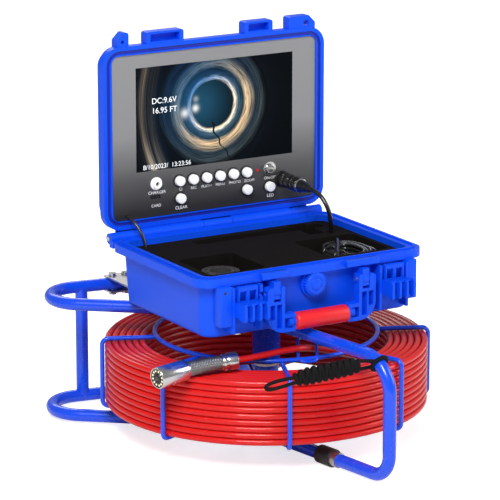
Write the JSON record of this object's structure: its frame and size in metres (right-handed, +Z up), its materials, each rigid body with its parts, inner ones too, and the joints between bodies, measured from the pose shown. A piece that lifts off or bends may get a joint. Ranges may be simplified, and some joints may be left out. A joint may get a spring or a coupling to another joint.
{
  "type": "pipe inspection camera",
  "caption": "Pipe inspection camera: a cage reel of push rod turns in a bent tube frame under a screen case, with a steel camera head on the rod's end.",
  "frame": {"origin": "middle of the footprint on the floor, under the frame's rubber sleeves", "axes": "+Z up, -Y the case's front with the latches and handle, +X to the right as seen from the front"},
  "size_m": [0.372, 0.4804, 0.437],
  "materials": {
    "blue_paint": "semi-gloss royal blue powder coat",
    "bright_steel": "bright machined steel",
    "black_rubber": "matte black rubber",
    "black_cord": "braided black nylon cord",
    "blue_plastic": "fine-grained royal blue moulding",
    "red_rubber": "satin red rubber",
    "black_foam": "black closed-cell foam",
    "grey_panel": "graphite grey printed panel",
    "screen": "clear display window",
    "black_plastic": "satin black",
    "white_plastic": "white button caps",
    "red_light": "red lamp",
    "red_rod": "red push rod jacket",
    "spring_steel": "dark spring steel"
  },
  "bodies": {
    "frame": {"frame_hairpin_top": "blue_paint", "frame_hairpin_floor": "blue_paint", "frame_front_top": "blue_paint", "frame_front_floor": "blue_paint", "frame_back_top": "blue_paint", "frame_back_floor": "blue_paint", "frame_post_front": "blue_paint", "frame_post_back": "blue_paint", "frame_strut": "blue_paint", "hub_column": "blue_paint", "hub_axle": "bright_steel", "thrust_washers": "bright_steel", "foot_wraps": "black_rubber", "clamp_plates": "bright_steel", "frame_fasteners": "bright_steel", "carry_strap": "black_cord", "case_base": "blue_plastic", "case_foam": "black_foam", "case_pins": "bright_steel", "skid_ring": "black_plastic", "cable_hank": "black_rubber", "cable_signal": "black_rubber", "cable_power": "black_rubber"},
    "reel": {"reel_cage": "blue_paint", "reel_hoop": "blue_paint", "reel_tube": "blue_paint", "rod_lead": "red_rod", "rod_coil": "red_rod", "rod_tail": "red_rod", "head_coupling": "bright_steel", "head_spring": "spring_steel", "head_body": "bright_steel", "head_window": "black_plastic"},
    "lid": {"case_lid": "blue_plastic", "case_gasket": "black_rubber", "control_panel": "grey_panel", "screen_glass": "screen", "button_collars": "black_plastic", "power_bezel": "bright_steel", "indicator_light": "red_light", "panel_ports": "black_plastic", "cable_socket": "black_plastic", "cable_plug": "black_plastic"},
    "power_push": {"power_button": "bright_steel"},
    "latch_left": {"latch_left_lever": "blue_plastic"},
    "latch_left_catch": {"latch_left_hook": "blue_plastic"},
    "latch_right": {"latch_right_lever": "blue_plastic"},
    "latch_right_catch": {"latch_right_hook": "blue_plastic"},
    "handle": {"handle_frame": "blue_plastic", "handle_grip": "red_rubber"},
    "knob": {"pressure_knob": "blue_plastic"},
    "button_upper_1_push": {"button_upper_1": "white_plastic"},
    "button_upper_2_push": {"button_upper_2": "white_plastic"},
    "button_upper_3_push": {"button_upper_3": "white_plastic"},
    "button_upper_4_push": {"button_upper_4": "white_plastic"},
    "button_upper_5_push": {"button_upper_5": "white_plastic"},
    "button_upper_6_push": {"button_upper_6": "white_plastic"},
    "button_lower_1_push": {"button_lower_1": "white_plastic"},
    "button_lower_2_push": {"button_lower_2": "white_plastic"},
    "button_lower_3_push": {"button_lower_3": "white_plastic"}
  },
  "joints": [
    {"name": "reel_spin", "type": "hinge", "parent": "frame", "child": "reel", "pos_m": [0.0113, 0.01408, 0.05], "axis": [0, 0, 1], "continuous": true},
    {"name": "lid_hinge", "type": "hinge", "parent": "frame", "child": "lid", "pos_m": [0.0008, 0.10398, 0.2122], "axis": [1, 0, 0], "range_deg": [0, 90], "deforming": ["cable_signal", "cable_power"]},
    {"name": "latch_left_lift", "type": "hinge", "parent": "frame", "child": "latch_left", "pos_m": [-0.0877, -0.10542, 0.178], "axis": [1, 0, 0], "range_deg": [0, 65]},
    {"name": "latch_left_catch_turn", "type": "hinge", "parent": "latch_left", "child": "latch_left_catch", "pos_m": [-0.0877, -0.11216, 0.1823], "axis": [1, 0, 0], "range_deg": [-65, 0]},
    {"name": "latch_right_lift", "type": "hinge", "parent": "frame", "child": "latch_right", "pos_m": [0.0943, -0.10542, 0.178], "axis": [1, 0, 0], "range_deg": [0, 65]},
    {"name": "latch_right_catch_turn", "type": "hinge", "parent": "latch_right", "child": "latch_right_catch", "pos_m": [0.0943, -0.11216, 0.1823], "axis": [1, 0, 0], "range_deg": [-65, 0]},
    {"name": "handle_swing", "type": "hinge", "parent": "frame", "child": "handle", "pos_m": [0.0008, -0.11182, 0.1913], "axis": [1, 0, 0], "range_deg": [-90, 0]},
    {"name": "knob_turn", "type": "hinge", "parent": "frame", "child": "knob", "pos_m": [0.0008, -0.10092, 0.1906], "axis": [0, -1, 0], "range_deg": [0, 270]},
    {"name": "power_press", "type": "slide", "parent": "lid", "child": "power_push", "axis": [0, 1, 0], "range_m": [0, 0.0015], "stiffness_N_per_m": 400},
    {"name": "button_upper_1_press", "type": "slide", "parent": "lid", "child": "button_upper_1_push", "axis": [0, 1, 0], "range_m": [0, 0.0015], "stiffness_N_per_m": 300},
    {"name": "button_upper_2_press", "type": "slide", "parent": "lid", "child": "button_upper_2_push", "axis": [0, 1, 0], "range_m": [0, 0.0015], "stiffness_N_per_m": 300},
    {"name": "button_upper_3_press", "type": "slide", "parent": "lid", "child": "button_upper_3_push", "axis": [0, 1, 0], "range_m": [0, 0.0015], "stiffness_N_per_m": 300},
    {"name": "button_upper_4_press", "type": "slide", "parent": "lid", "child": "button_upper_4_push", "axis": [0, 1, 0], "range_m": [0, 0.0015], "stiffness_N_per_m": 300},
    {"name": "button_upper_5_press", "type": "slide", "parent": "lid", "child": "button_upper_5_push", "axis": [0, 1, 0], "range_m": [0, 0.0015], "stiffness_N_per_m": 300},
    {"name": "button_upper_6_press", "type": "slide", "parent": "lid", "child": "button_upper_6_push", "axis": [0, 1, 0], "range_m": [0, 0.0015], "stiffness_N_per_m": 300},
    {"name": "button_lower_1_press", "type": "slide", "parent": "lid", "child": "button_lower_1_push", "axis": [0, 1, 0], "range_m": [0, 0.0015], "stiffness_N_per_m": 300},
    {"name": "button_lower_2_press", "type": "slide", "parent": "lid", "child": "button_lower_2_push", "axis": [0, 1, 0], "range_m": [0, 0.0015], "stiffness_N_per_m": 300},
    {"name": "button_lower_3_press", "type": "slide", "parent": "lid", "child": "button_lower_3_push", "axis": [0, 1, 0], "range_m": [0, 0.0015], "stiffness_N_per_m": 300}
  ],
  "couplings": [
    {"joint": "latch_left_catch_turn", "follows": "latch_left_lift", "ratio": -1},
    {"joint": "latch_right_catch_turn", "follows": "latch_right_lift", "ratio": -1}
  ]
}
